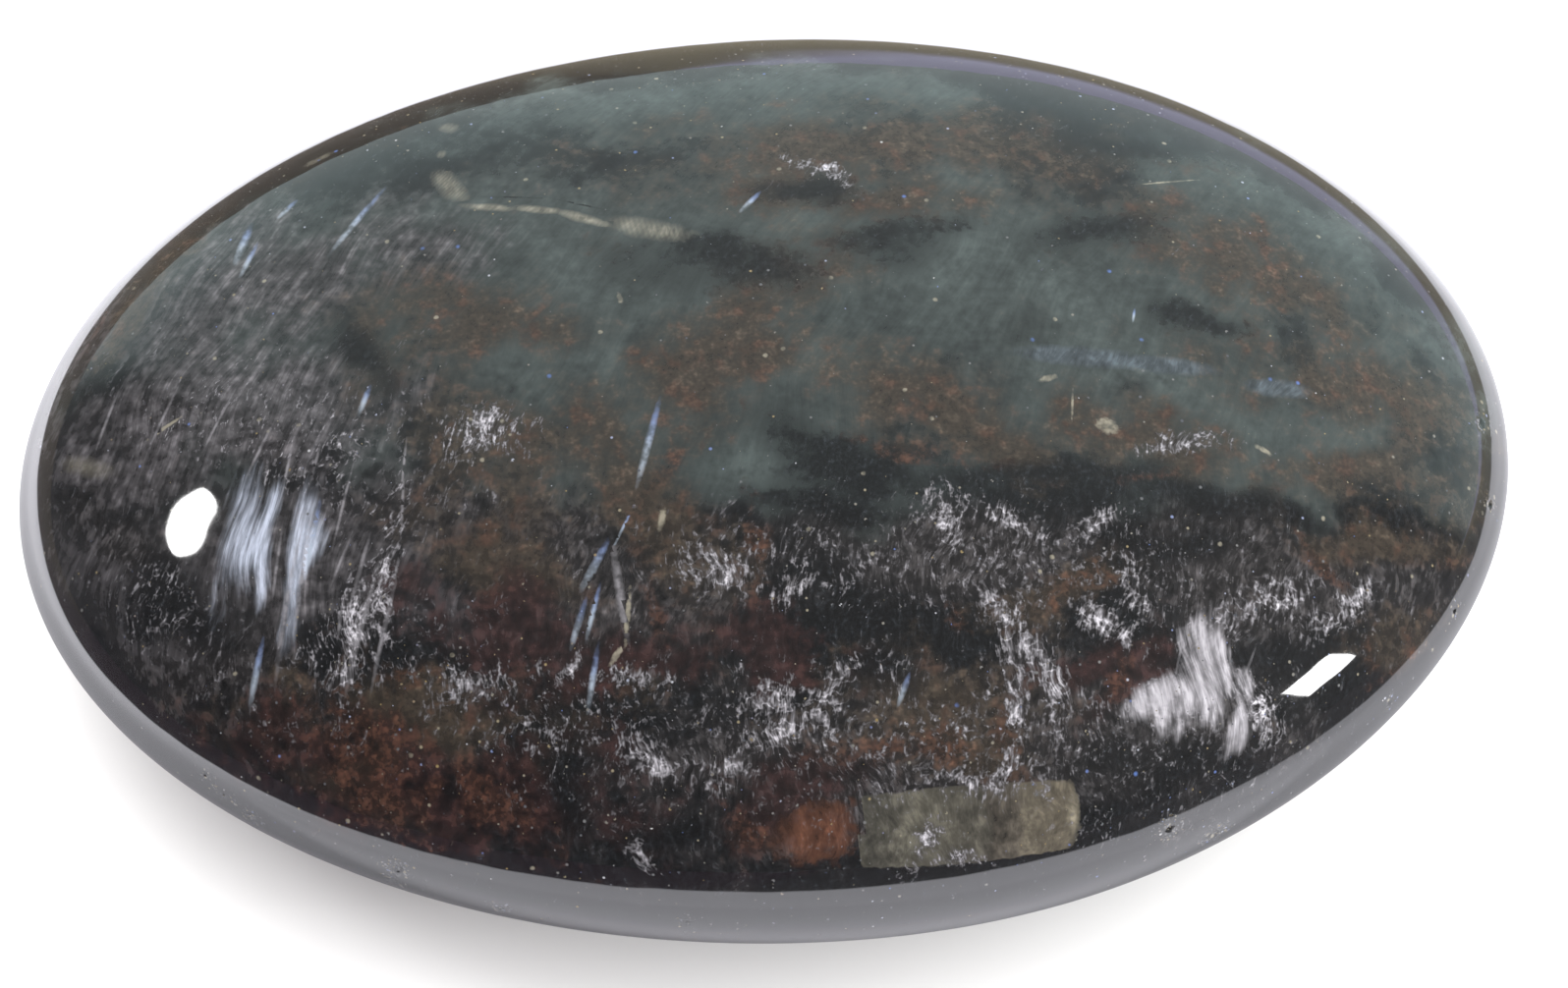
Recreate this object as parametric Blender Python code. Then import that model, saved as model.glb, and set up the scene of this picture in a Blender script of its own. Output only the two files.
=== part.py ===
"""Palm stone: a flattened oval pebble of dark mineral, hand-ground, polished all over, in one piece.

Units are metres, +Z is up. The long axis lies along X and the shorter plan axis along Y.
The origin is under the middle of the stone, on the small flat that it rests on.
"""

import math

import bmesh
import bpy

# Driving sizes
LENGTH = 0.065
WIDTH = 0.0445
THICKNESS = 0.0202  # of the whole pebble, before its resting flat is ground

# The girdle is an ellipse, ground by hand, so it wanders: lobes around it, height of the wave, where it starts
GIRDLE_WAVES = (
    (2, 0.00027, math.radians(126.0)),
    (3, 0.00018, math.radians(205.0)),
    (5, 0.00006, math.radians(252.0)),
)

# The profile's power near the girdle: 2 is an ellipse, as at the crown, and more makes a fuller shoulder
SHOULDER_POWER = 2.5
UNDERSIDE_POWER = 2.3
CROWN_POWER = 2.0

# The shoulder was ground fuller in some directions: lobes, change of the power, where it starts
SHOULDER_WAVES = (
    (1, 0.25, math.radians(242.0)),
    (2, 0.30, math.radians(154.0)),
    (3, 0.30, math.radians(248.0)),
    (4, 0.15, math.radians(180.0)),
)

# Facets of the solid. The small flat that the stone rests on takes the place of the lowest rings.
SEGMENTS = 88
RINGS = 36
REST_RINGS = 3

# Finish of the polished stone
STONE_COLOUR = (0.045, 0.05, 0.052, 1.0)
STONE_ROUGHNESS = 0.12

OBJECT_NAME = "arfvedsonite_palm_stone"
STONE_NAME = "palm_stone"


def clear_scene():
    """Empties the scene of its objects."""
    for item in list(bpy.data.objects):
        bpy.data.objects.remove(item, do_unlink=True)


def polished_stone():
    """The dark, glossy stone's material."""
    material = bpy.data.materials.new(STONE_NAME)
    material.use_nodes = True
    shader = material.node_tree.nodes["Principled BSDF"]
    shader.inputs["Base Color"].default_value = STONE_COLOUR
    shader.inputs["Roughness"].default_value = STONE_ROUGHNESS
    shader.inputs["Metallic"].default_value = 0.0
    material.diffuse_color = STONE_COLOUR
    return material


def waves(kinds, heading):
    """The sum of hand-ground waves in one direction of the plan."""
    return sum(height * math.cos(lobes * heading + start) for lobes, height, start in kinds)


def girdle_radius(heading):
    """How far the girdle is from the middle of the stone in one direction of the plan."""
    along = math.cos(heading) / (LENGTH / 2)
    across = math.sin(heading) / (WIDTH / 2)
    return 1 / math.hypot(along, across) + waves(GIRDLE_WAVES, heading)


def profile_power(heading, rise):
    """How full the stone's profile is in one direction, at a height from -1, lowest, to 1, the crown."""
    shoulder = UNDERSIDE_POWER
    if rise >= 0:
        shoulder = SHOULDER_POWER + waves(SHOULDER_WAVES, heading)
    return CROWN_POWER + (shoulder - CROWN_POWER) * (1 - rise * rise)


def surface_point(direction):
    """Where the stone's surface lies for a point of the unit sphere."""
    heading = math.atan2(direction.y, direction.x)
    rise = max(-1.0, min(1.0, direction.z))
    reach = (1 - rise * rise) ** (1 / profile_power(heading, rise))
    radius = girdle_radius(heading) * reach
    return (
        radius * math.cos(heading),
        radius * math.sin(heading),
        rise * THICKNESS / 2,
    )


def ground_sphere(mesh):
    """A unit sphere whose lowest rings are ground off and closed with one flat face."""
    bmesh.ops.create_uvsphere(mesh, u_segments=SEGMENTS, v_segments=RINGS, radius=1.0)
    lowest_kept = -math.cos(math.pi * (REST_RINGS - 0.5) / RINGS)
    ground = [vertex for vertex in mesh.verts if vertex.co.z < lowest_kept]
    bmesh.ops.delete(mesh, geom=ground, context="VERTS")
    rim = [edge for edge in mesh.edges if edge.is_boundary]
    bmesh.ops.edgeloop_fill(mesh, edges=rim)
    bmesh.ops.recalc_face_normals(mesh, faces=mesh.faces[:])


def press_to_shape(mesh):
    """Presses the sphere into the pebble."""
    for vertex in mesh.verts:
        vertex.co = surface_point(vertex.co)


def set_on_origin(mesh):
    """Moves the stone so that the origin is under its middle, at the resting flat."""
    xs = [vertex.co.x for vertex in mesh.verts]
    ys = [vertex.co.y for vertex in mesh.verts]
    zs = [vertex.co.z for vertex in mesh.verts]
    middle = ((min(xs) + max(xs)) / 2, (min(ys) + max(ys)) / 2, min(zs))
    bmesh.ops.translate(mesh, verts=mesh.verts[:], vec=[-value for value in middle])


def make_stone(collection):
    """The whole stone as one closed solid."""
    mesh = bmesh.new()
    ground_sphere(mesh)
    press_to_shape(mesh)
    set_on_origin(mesh)
    data = bpy.data.meshes.new(STONE_NAME)
    mesh.to_mesh(data)
    mesh.free()
    data.materials.append(polished_stone())
    data.shade_smooth()
    data.set_sharp_from_angle(angle=math.radians(40))
    stone = bpy.data.objects.new(STONE_NAME, data)
    collection.objects.link(stone)
    return stone


def main():
    clear_scene()
    collection = bpy.data.collections.new(OBJECT_NAME)
    bpy.context.scene.collection.children.link(collection)
    make_stone(collection)


if __name__ == "__main__":
    main()
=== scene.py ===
"""Arfvedsonite palm stone: the polished pebble's minerals and polish, its stage and its camera.

Laid out as an add-on, and run as a script. Lengths are metres, apart from those in the minerals' patterns,
which are millimetres. Marks on the stone are placed by the pixel of the 1596 x 1006 photograph where each
shows, and are cast through the camera onto the stone, where they are inclusions of a real size.
"""

import math
import random
from typing import NamedTuple

import bmesh
import bpy
import numpy as np
from bpy.props import FloatProperty, FloatVectorProperty, IntProperty, PointerProperty
from mathutils import Matrix, Vector, noise
from mathutils.bvhtree import BVHTree
from mathutils.kdtree import KDTree


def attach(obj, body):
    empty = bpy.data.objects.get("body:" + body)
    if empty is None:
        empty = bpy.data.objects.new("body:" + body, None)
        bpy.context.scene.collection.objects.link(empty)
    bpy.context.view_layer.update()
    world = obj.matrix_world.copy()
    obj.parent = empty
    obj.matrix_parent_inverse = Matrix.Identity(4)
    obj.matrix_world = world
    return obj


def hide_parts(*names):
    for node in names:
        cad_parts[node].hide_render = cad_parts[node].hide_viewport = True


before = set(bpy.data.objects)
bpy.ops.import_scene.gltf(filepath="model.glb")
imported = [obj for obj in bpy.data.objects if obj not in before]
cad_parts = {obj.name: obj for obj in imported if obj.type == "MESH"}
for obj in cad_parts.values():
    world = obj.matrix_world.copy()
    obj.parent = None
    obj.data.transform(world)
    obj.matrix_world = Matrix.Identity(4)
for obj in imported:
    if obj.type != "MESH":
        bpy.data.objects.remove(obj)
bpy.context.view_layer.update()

bl_info = {
    "name": "Palm Stone",
    "version": (1, 0, 0),
    "blender": (4, 5, 0),
    "location": "3D View > Sidebar > Palm Stone",
    "description": "A polished arfvedsonite palm stone with its stage and camera",
    "category": "Object",
}

STONE_NODE = "palm_stone"
STONE_PIECE = "polished_palm_stone"
MM = 0.001

# The photograph's frame, in pixels
PHOTO_WIDTH = 1596
PHOTO_HEIGHT = 1006
SENSOR_WIDTH_MM = 36.0

# The stone's form, as its solid has it
HALF_LENGTH = 0.0325
HALF_WIDTH = 0.02225
HALF_THICKNESS = 0.0101
REST_RISE = math.sin(math.radians(75.0))  # of the half thickness, down to the resting flat
GIRDLE_WAVES = (
    (2, 0.00027, math.radians(126.0)),
    (3, 0.00018, math.radians(205.0)),
    (5, 0.00006, math.radians(252.0)),
)
SHOULDER_POWER = 2.5
UNDERSIDE_POWER = 2.3
CROWN_POWER = 2.0
SHOULDER_WAVES = (
    (1, 0.25, math.radians(242.0)),
    (2, 0.30, math.radians(154.0)),
    (3, 0.30, math.radians(248.0)),
    (4, 0.15, math.radians(180.0)),
)
GIRDLE_STEPS = 720
POLISH_RIPPLE = 0.0045 * MM  # how far the hand polish departs from the true form
POLISH_WAVES = 0.65  # its waves, per millimetre
LACUNARITY = 2.0  # how much finer each octave of a noise is than the one before


def mineral_colour(name, description, default):
    """A setting for a mineral's colour, in linear light."""
    return FloatVectorProperty(
        name=name, description=description, default=default, subtype="COLOR", min=0.0, max=1.0)


def length_setting(name, description, default):
    """A setting for a length, in metres."""
    return FloatProperty(name=name, description=description, default=default, unit="LENGTH", precision=5)


def angle_setting(name, description, degrees):
    """A setting for an angle, whose default is given in degrees."""
    return FloatProperty(name=name, description=description, default=math.radians(degrees), subtype="ANGLE")


class PalmStoneSettings(bpy.types.PropertyGroup):
    """Polish, make and minerals of the stone."""

    cuts: IntProperty(
        name="Cuts", description="Cuts along each edge of the cube that the pebble is pressed from",
        default=120, min=8, max=125)
    polish_roughness: FloatProperty(
        name="Polish roughness", description="Roughness of the polished surface",
        default=0.035, min=0.0, max=1.0)
    polish_index: FloatProperty(
        name="Polish index", description="Refractive index of the mineral at the polished surface",
        default=1.68, min=1.0, max=3.0)
    black: mineral_colour("Black", "Arfvedsonite between the other minerals", (0.0016, 0.0019, 0.0023))
    # Teal: partly the stone's own teal, partly a painted reflection of the room's teal-grey wall
    teal: mineral_colour("Teal", "Milky blue-green clouds", (0.0285, 0.0365, 0.0355))
    lilac: mineral_colour("Lilac", "Grey-lilac clouds at the left", (0.0350, 0.0330, 0.0355))
    brown: mineral_colour("Brown", "Brown clouds", (0.0235, 0.0180, 0.0130))
    rust: mineral_colour("Rust", "Rusty spots and veins", (0.0330, 0.0140, 0.0082))
    maroon: mineral_colour("Maroon", "Deep red clouds", (0.0135, 0.0055, 0.0052))
    silver: mineral_colour("Silver", "Silvery flecks and bundles", (0.1800, 0.1740, 0.1880))
    orange: mineral_colour("Orange", "Orange patch beside the pale crystal", (0.0560, 0.0225, 0.0125))
    olive: mineral_colour("Olive", "Pale olive crystal", (0.0530, 0.0490, 0.0400))
    cream: mineral_colour("Cream", "Cream seam and flecks", (0.1900, 0.1750, 0.1350))
    ash: mineral_colour("Ash", "Brownish grey between the silver flecks", (0.0180, 0.0165, 0.0170))
    # Fibres at the left whose sheen from the left lamp is painted into their colour, as a painted sheen
    glow: mineral_colour("Glow", "Bluish white fibres beside the left lamp's image", (0.1450, 0.1600, 0.1950))
    band: mineral_colour("Band", "Blue-grey band in the teal", (0.0330, 0.0420, 0.0500))
    needle: mineral_colour("Needle", "Pale body of the blue needles", (0.2200, 0.2600, 0.3100))
    blue: mineral_colour("Blue", "Blue flashes", (0.0650, 0.1200, 0.3100))


class PalmStageSettings(bpy.types.PropertyGroup):
    """Paper, room, lamps and camera."""

    lens: FloatProperty(
        name="Lens", description="Focal length on a 36 mm wide sensor", default=105.6, unit="CAMERA")
    camera_rise: angle_setting(
        "Camera rise", "Height of the camera above the surface, seen from the stone", 56.5)
    camera_turn: angle_setting(
        "Camera turn", "Turn of the camera about the stone, from straight in front", -4.3)
    camera_distance: length_setting("Camera distance", "Distance from the camera to the stone's centre", 0.2)
    aim_right: length_setting("Aim right", "How far right of the stone's centre the camera aims", 0.56 * MM)
    aim_up: length_setting("Aim up", "How far above the stone's centre the camera aims", -1.01 * MM)
    sheet_reach: length_setting(
        "Sheet reach", "How far the white sheet goes on past the stone, as the polish mirrors it", 37 * MM)
    side_reach: length_setting(
        "Side reach", "How far it goes on beside the stone's rear half, as the polish mirrors it", 54 * MM)
    rear_reach: length_setting(
        "Rear reach", "How far it goes on behind the stone, as the polish mirrors it", 24 * MM)


def waves(kinds, heading):
    """Sum of a ring of cosine waves at a heading."""
    return sum(height * math.cos(lobes * heading + start) for lobes, height, start in kinds)


def girdle_radius(heading):
    """Distance from the pebble's axis to its girdle, in plan."""
    along = math.cos(heading) / HALF_LENGTH
    across = math.sin(heading) / HALF_WIDTH
    return 1 / math.hypot(along, across) + waves(GIRDLE_WAVES, heading)


def profile_power(heading, rise):
    """Power of the rounded profile: fullest at the girdle, an ellipse at the crown."""
    shoulder = UNDERSIDE_POWER
    if rise >= 0:
        shoulder = SHOULDER_POWER + waves(SHOULDER_WAVES, heading)
    return CROWN_POWER + (shoulder - CROWN_POWER) * (1 - rise * rise)


def surface_point(direction):
    """The pebble's surface in a direction from its centre, cut off at the resting flat."""
    heading = math.atan2(direction.y, direction.x)
    rise = max(-1.0, min(1.0, direction.z))
    reach = (1 - rise * rise) ** (1 / profile_power(heading, rise))
    radius = girdle_radius(heading) * reach
    height = max(rise, -REST_RISE) * HALF_THICKNESS
    return Vector((radius * math.cos(heading), radius * math.sin(heading), height))


def pebble_centre():
    """Where the pebble's own centre is, with its box about the origin and its flat on the floor."""
    turns = [math.tau * step / GIRDLE_STEPS for step in range(GIRDLE_STEPS)]
    along = [girdle_radius(turn) * math.cos(turn) for turn in turns]
    across = [girdle_radius(turn) * math.sin(turn) for turn in turns]
    return Vector((
        -(max(along) + min(along)) / 2,
        -(max(across) + min(across)) / 2,
        HALF_THICKNESS * REST_RISE,
    ))


def camera_pose(settings):
    """The camera's place and turn, as a matrix."""
    rise, turn = settings.camera_rise, settings.camera_turn
    back = Vector((math.sin(turn) * math.cos(rise), -math.cos(turn) * math.cos(rise), math.sin(rise)))
    right = Vector((0.0, 0.0, 1.0)).cross(back).normalized()
    up = back.cross(right)
    centre = pebble_centre()
    place = centre + back * settings.camera_distance
    aim = centre + right * settings.aim_right + up * settings.aim_up
    look = (aim - place).to_track_quat("-Z", "Y")
    return Matrix.Translation(place) @ look.to_matrix().to_4x4()


def photo_ray(pose, settings, pixel):
    """Start and direction of the view ray through a pixel of the photograph."""
    right = (pixel[0] - PHOTO_WIDTH / 2) / PHOTO_WIDTH * SENSOR_WIDTH_MM
    up = (PHOTO_HEIGHT / 2 - pixel[1]) / PHOTO_WIDTH * SENSOR_WIDTH_MM
    direction = pose.to_3x3() @ Vector((right, up, -settings.lens))
    return pose.translation, direction.normalized()


MARK_DEPTH = 0.1  # mm, the least that a mark goes down below the surface


class PhotoCast:
    """Casts pixels of the photograph through the camera onto the stone, in millimetres."""

    def __init__(self, tree, settings):
        self.tree = tree
        self.settings = settings
        self.pose = camera_pose(settings)

    def hit(self, pixel):
        """Place on the stone that shows at a pixel, and the way its surface faces there."""
        start, direction = photo_ray(self.pose, self.settings, pixel)
        place, normal, _, _ = self.tree.ray_cast(start, direction)
        if place is None:
            raise RuntimeError(f"no stone at the pixel {pixel}")
        return place / MM, normal

    def inclusion(self, x1, y1, x2, y2, half_width, rounding=0.0, least_depth=0.0):
        """Centre, turn and half sizes of an ellipsoid that lies along the surface between two pixels."""
        first, _ = self.hit((x1, y1))
        last, _ = self.hit((x2, y2))
        middle, normal = self.hit(((x1 + x2) / 2, (y1 + y2) / 2))
        bulge = middle - (first + last) / 2
        along = last - first
        half_length = along.length / 2 + half_width * rounding
        along.normalize()
        across = normal.cross(along).normalized()
        turn = Matrix((along, across, along.cross(across))).transposed()
        depth = max(least_depth, half_width, MARK_DEPTH + 2 * bulge.length)
        return (first + last + bulge) / 2, turn, (half_length, half_width, depth)

    def spot(self, pixel, radius):
        """Centre, turn and half sizes of a round spot at a pixel."""
        place, normal = self.hit(pixel)
        across = normal.cross((1.0, 0.0, 0.0)).normalized()
        turn = Matrix((across.cross(normal), across, normal)).transposed()
        return place, turn, (radius, radius, radius)


def link(item):
    """Puts an object in the scene."""
    bpy.context.scene.collection.objects.link(item)
    return item


class Nodes:
    """Adds nodes to a tree, so that a material's lines read as formulas."""

    def __init__(self, tree):
        self.tree = tree

    def add(self, kind, **values):
        node = self.tree.nodes.new(kind)
        for name, value in values.items():
            setattr(node, name, value)
        return node

    def set(self, socket, value):
        """Links a socket, or gives the input a plain value."""
        if isinstance(value, bpy.types.NodeSocket):
            self.tree.links.new(value, socket)
        elif value is not None:
            socket.default_value = value

    def fill(self, node, values):
        """Sets a node's inputs, given by name or number."""
        for name, value in values.items():
            self.set(node.inputs[name], value)
        return node

    def math(self, operation, *values, clamp=False):
        node = self.add("ShaderNodeMath", operation=operation, use_clamp=clamp)
        return self.fill(node, dict(enumerate(values))).outputs[0]

    def product(self, *factors):
        result = factors[0]
        for factor in factors[1:]:
            result = self.math("MULTIPLY", result, factor)
        return result

    def vector(self, operation, first, second=None):
        node = self.add("ShaderNodeVectorMath", operation=operation)
        self.fill(node, {0: first, ("Scale" if operation == "SCALE" else 1): second})
        return node.outputs["Value" if operation in ("LENGTH", "DOT_PRODUCT") else "Vector"]

    def join(self, x, y, z):
        """A vector from its three parts."""
        return self.fill(self.add("ShaderNodeCombineXYZ"), {0: x, 1: y, 2: z}).outputs[0]

    def split(self, vector):
        """The three parts of a vector."""
        return tuple(self.fill(self.add("ShaderNodeSeparateXYZ"), {0: vector}).outputs)

    def reach(self, along, across):
        """Distance from the middle, in a plane."""
        return self.vector("LENGTH", self.join(along, across, 0.0))

    def span(self, value, low, high, start=0.0, end=1.0, smooth=True):
        """Maps a value's range from low to high onto start to end, clamped."""
        node = self.add("ShaderNodeMapRange", interpolation_type="SMOOTHSTEP" if smooth else "LINEAR")
        ends = {"Value": value, "From Min": low, "From Max": high, "To Min": start, "To Max": end}
        return self.fill(node, ends).outputs["Result"]

    def ramp(self, value, stops, interpolation="LINEAR"):
        """Maps a value from 0 to 1 onto colours, given as places and colours in rising order."""
        node = self.add("ShaderNodeValToRGB")
        node.color_ramp.interpolation = interpolation
        elements = node.color_ramp.elements
        while len(elements) < len(stops):
            elements.new(1.0)
        for element, (place, colour) in zip(elements, stops):
            element.position = place
            element.color = (*colour, 1.0)
        return self.fill(node, {0: value}).outputs["Color"]

    def mix(self, factor, below, above, blend="MIX"):
        """One colour or the other, or part of both."""
        node = self.add("ShaderNodeMix", data_type="RGBA", blend_type=blend)
        return self.fill(node, {"Factor": factor, 6: below, 7: above}).outputs[2]

    def blend(self, factor, below, above):
        """One value or the other, or part of both."""
        node = self.add("ShaderNodeMix", data_type="FLOAT")
        return self.fill(node, {0: factor, 2: below, 3: above}).outputs[0]

    def noise(self, place, scale, octaves, roughness):
        node = self.add("ShaderNodeTexNoise")
        values = {"Vector": place, "Scale": scale, "Detail": octaves, "Roughness": roughness}
        return self.fill(node, values).outputs["Fac"]

    def scaled(self, place, scale):
        """Coordinates at other scales along the three axes."""
        node = self.add("ShaderNodeMapping", vector_type="POINT")
        return self.fill(node, {"Vector": place, "Scale": scale}).outputs[0]

    def attribute(self, name, output="Fac"):
        return self.add("ShaderNodeAttribute", attribute_name=name).outputs[output]


# Pits and chips at the rim: pixel, radius and depth in millimetres
RIM_PITS = (
    ((209, 789), 0.13, 0.05), ((228, 809), 0.14, 0.06), ((256, 832), 0.26, 0.09), ((405, 885), 0.27, 0.10),
    ((400, 897), 0.15, 0.06), ((510, 925), 0.18, 0.07), ((700, 938), 0.12, 0.04), ((1190, 843), 0.28, 0.08),
    ((1236, 850), 0.34, 0.09), ((1414, 716), 0.16, 0.05), ((1480, 622), 0.18, 0.06),
    ((1508, 432), 0.34, 0.10), ((1516, 514), 0.22, 0.07),
)
PIT_MARGIN = 0.45  # mm of finer mesh round a pit
PIT_CUTS = 4
PIT_RAGGED = 0.5
PIT_RAGGED_WAVES = 5.0  # per mm


def stone_mesh(settings):
    """The fine pebble: a cube cut into a grid, blown up to a sphere and pressed to the pebble's form."""
    mesh = bmesh.new()
    bmesh.ops.create_cube(mesh, size=2.0)
    bmesh.ops.subdivide_edges(mesh, edges=mesh.edges[:], cuts=settings.cuts, use_grid_fill=True)
    centre = pebble_centre()
    for vertex in mesh.verts:
        direction = vertex.co.normalized()
        vertex.co = centre + surface_point(direction)
        if direction.z > -REST_RISE:
            ripple = noise.fractal(vertex.co / MM * POLISH_WAVES, 1.0, LACUNARITY, 2)
            vertex.co += direction * POLISH_RIPPLE * ripple
    bmesh.ops.recalc_face_normals(mesh, faces=mesh.faces[:])
    return mesh


def points_near(mesh, place, reach):
    """The mesh's points within a distance of a place."""
    return [vertex for vertex in mesh.verts if (vertex.co - place).length_squared < reach * reach]


def press_pits(mesh, cast):
    """Pits and chips at the rim: the mesh is cut finer around each, and its points are pressed in."""
    pits = []
    near = set()
    for pixel, radius, depth in RIM_PITS:
        place, normal = cast.hit(pixel)
        pits.append((place * MM, normal, radius * MM, depth * MM))
        near.update(points_near(mesh, place * MM, (radius + PIT_MARGIN) * MM))
    edges = [edge for edge in mesh.edges if not near.isdisjoint(edge.verts)]
    bmesh.ops.subdivide_edges(mesh, edges=edges, cuts=PIT_CUTS, use_grid_fill=True)
    for place, normal, radius, depth in pits:
        for vertex in points_near(mesh, place, radius * (1 + PIT_RAGGED)):
            ragged = radius * (1.0 + PIT_RAGGED * noise.noise(vertex.co / MM * PIT_RAGGED_WAVES))
            gap = (vertex.co - place).length / ragged
            if gap < 1.0:
                vertex.co -= normal * depth * (1.0 - gap * gap) ** 2


# Where the photograph shows each mineral's clouds: start and end, as x and y in pixels, and half width in
# millimetres. The patches and marks further down are given in the same way
# The teal clouds are partly the stone's teal and partly a painted reflection of the room's teal-grey wall
TEAL_CLOUDS_AND_PAINTED_REFLECTION = (
    (260, 300, 1400, 320, 8.4), (560, 380, 860, 470, 3.5), (1000, 420, 1440, 460, 2.6),
    (480, 125, 1000, 95, 3.0), (1150, 150, 1400, 290, 2.6),
)
LILAC_CLOUDS = (
    (120, 330, 390, 260, 3.6), (130, 420, 380, 420, 3.0), (230, 560, 400, 560, 3.4),
    (70, 480, 150, 480, 1.4), (80, 560, 170, 650, 1.3),
)
ASHEN_CLOUDS = (
    (420, 500, 640, 560, 2.6), (560, 640, 800, 560, 2.6), (820, 560, 1060, 560, 2.6),
    (1180, 580, 1420, 600, 2.8), (980, 740, 1280, 740, 3.2), (620, 800, 960, 780, 3.2),
    (100, 560, 300, 720, 3.2), (280, 745, 480, 765, 1.5),
)
BROWN_CLOUDS = (
    (720, 150, 1090, 150, 2.2), (700, 200, 1000, 200, 1.3), (830, 262, 650, 440, 2.1),
    (850, 370, 1040, 450, 1.9), (1060, 410, 1240, 470, 1.5), (1190, 230, 1330, 300, 2.4),
    (1290, 370, 1490, 430, 2.2), (1300, 480, 1480, 500, 1.1), (400, 320, 560, 330, 1.8),
    (420, 400, 560, 480, 2.2), (600, 430, 700, 560, 1.7), (440, 540, 560, 600, 1.2),
    (1040, 620, 1120, 590, 1.0), (880, 720, 1010, 740, 1.9), (300, 730, 560, 720, 1.6),
    (310, 770, 420, 810, 1.2), (120, 340, 200, 230, 0.9), (1330, 540, 1480, 560, 0.8),
    (1380, 670, 1450, 640, 0.8),
)
RUST_CLOUDS = (
    (1062, 608, 1112, 588, 0.85), (972, 612, 992, 640, 0.40), (840, 770, 1000, 750, 0.90),
    (772, 520, 760, 610, 0.55), (664, 590, 680, 640, 0.45), (690, 450, 660, 520, 0.60),
    (866, 434, 990, 480, 0.55), (1140, 490, 1210, 482, 0.35), (1282, 224, 1303, 293, 0.50),
    (1319, 534, 1370, 590, 0.45), (1150, 690, 1140, 720, 0.70), (402, 690, 384, 810, 0.50),
    (408, 828, 470, 780, 0.60), (111, 320, 83, 360, 0.35), (750, 830, 790, 880, 0.80),
    (1395, 690, 1440, 650, 0.40), (330, 770, 380, 840, 0.70), (350, 730, 420, 850, 1.50),
    (440, 760, 540, 850, 1.30),
)
MAROON_CLOUDS = (
    (430, 620, 600, 660, 1.8), (560, 700, 760, 650, 1.3), (690, 640, 850, 690, 1.2),
    (330, 790, 600, 820, 2.5), (250, 740, 420, 790, 1.7), (1060, 700, 1150, 670, 0.9),
    (1190, 640, 1130, 740, 0.7), (760, 860, 870, 780, 1.2),
)
BLACK_CLOUDS = (
    (670, 258, 820, 268, 1.5), (850, 252, 960, 228, 1.3), (770, 205, 860, 190, 1.0),
    (765, 440, 930, 500, 1.7), (770, 500, 900, 530, 1.0), (1190, 500, 1310, 515, 0.8),
    (940, 490, 1180, 480, 0.8), (1070, 240, 1170, 228, 1.1), (1070, 140, 1190, 152, 1.4),
    (1180, 320, 1260, 330, 0.8), (90, 600, 230, 640, 1.7), (560, 740, 600, 840, 1.3),
    (820, 580, 900, 650, 1.4), (1130, 790, 1230, 790, 1.2), (1150, 560, 1240, 540, 1.0),
    (870, 690, 930, 700, 0.7), (640, 850, 740, 860, 0.9), (360, 340, 400, 400, 0.8),
)
SILVER_HAZE = (
    (700, 560, 1330, 600, 2.2), (620, 760, 1250, 760, 2.8), (440, 700, 640, 760, 1.6),
    (180, 400, 400, 480, 3.2), (250, 700, 420, 640, 1.6), (90, 560, 270, 720, 1.5),
)
SILVER_CLUMPS = (
    (1040, 612, 1028, 690, 0.62), (1028, 680, 1030, 760, 0.60), (1030, 750, 1005, 806, 0.62),
    (1000, 585, 1040, 640, 0.35), (930, 790, 1013, 785, 0.45), (1048, 640, 1080, 731, 0.75),
    (1085, 760, 1062, 700, 0.45), (756, 715, 800, 700, 0.80), (770, 760, 840, 720, 0.90),
    (838, 720, 876, 680, 0.60), (838, 760, 832, 700, 0.50), (726, 800, 759, 785, 0.60),
    (616, 700, 677, 700, 0.60), (560, 700, 600, 660, 0.35), (795, 620, 818, 590, 0.55),
    (1146, 590, 1178, 620, 0.90), (1100, 620, 1160, 660, 0.60), (700, 560, 751, 600, 0.80),
    (640, 760, 700, 800, 1.00), (640, 850, 660, 880, 0.40), (949, 500, 975, 565, 0.50),
    (985, 515, 1060, 545, 0.55), (1105, 540, 1146, 522, 0.55), (434, 690, 501, 690, 0.90),
    (465, 440, 516, 440, 1.10), (1250, 620, 1340, 590, 0.90), (1330, 640, 1400, 600, 0.80),
    (1260, 700, 1300, 740, 0.90), (1155, 735, 1186, 697, 0.60), (404, 540, 386, 650, 0.62),
    (372, 590, 350, 712, 0.60), (928, 886, 950, 836, 0.42), (952, 874, 1004, 882, 0.36),
    (880, 190, 800, 160, 0.45), (1160, 460, 1240, 450, 0.50),
)
# Fan of silky fibres beside the right lamp's image: their sheen from that lamp is painted into their colour
PAINTED_SHEEN_FAN = (
    (1236, 650, 1208, 735, 1.10), (1262, 700, 1240, 770, 0.60), (1205, 690, 1172, 736, 0.70),
)
# Fibres beside the left lamp's image: their sheen from that lamp is painted into their colour
PAINTED_SHEEN_FIBRES = (
    (246, 508, 218, 594, 0.95), (276, 500, 250, 600, 0.55), (312, 505, 286, 660, 0.60),
)

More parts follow.
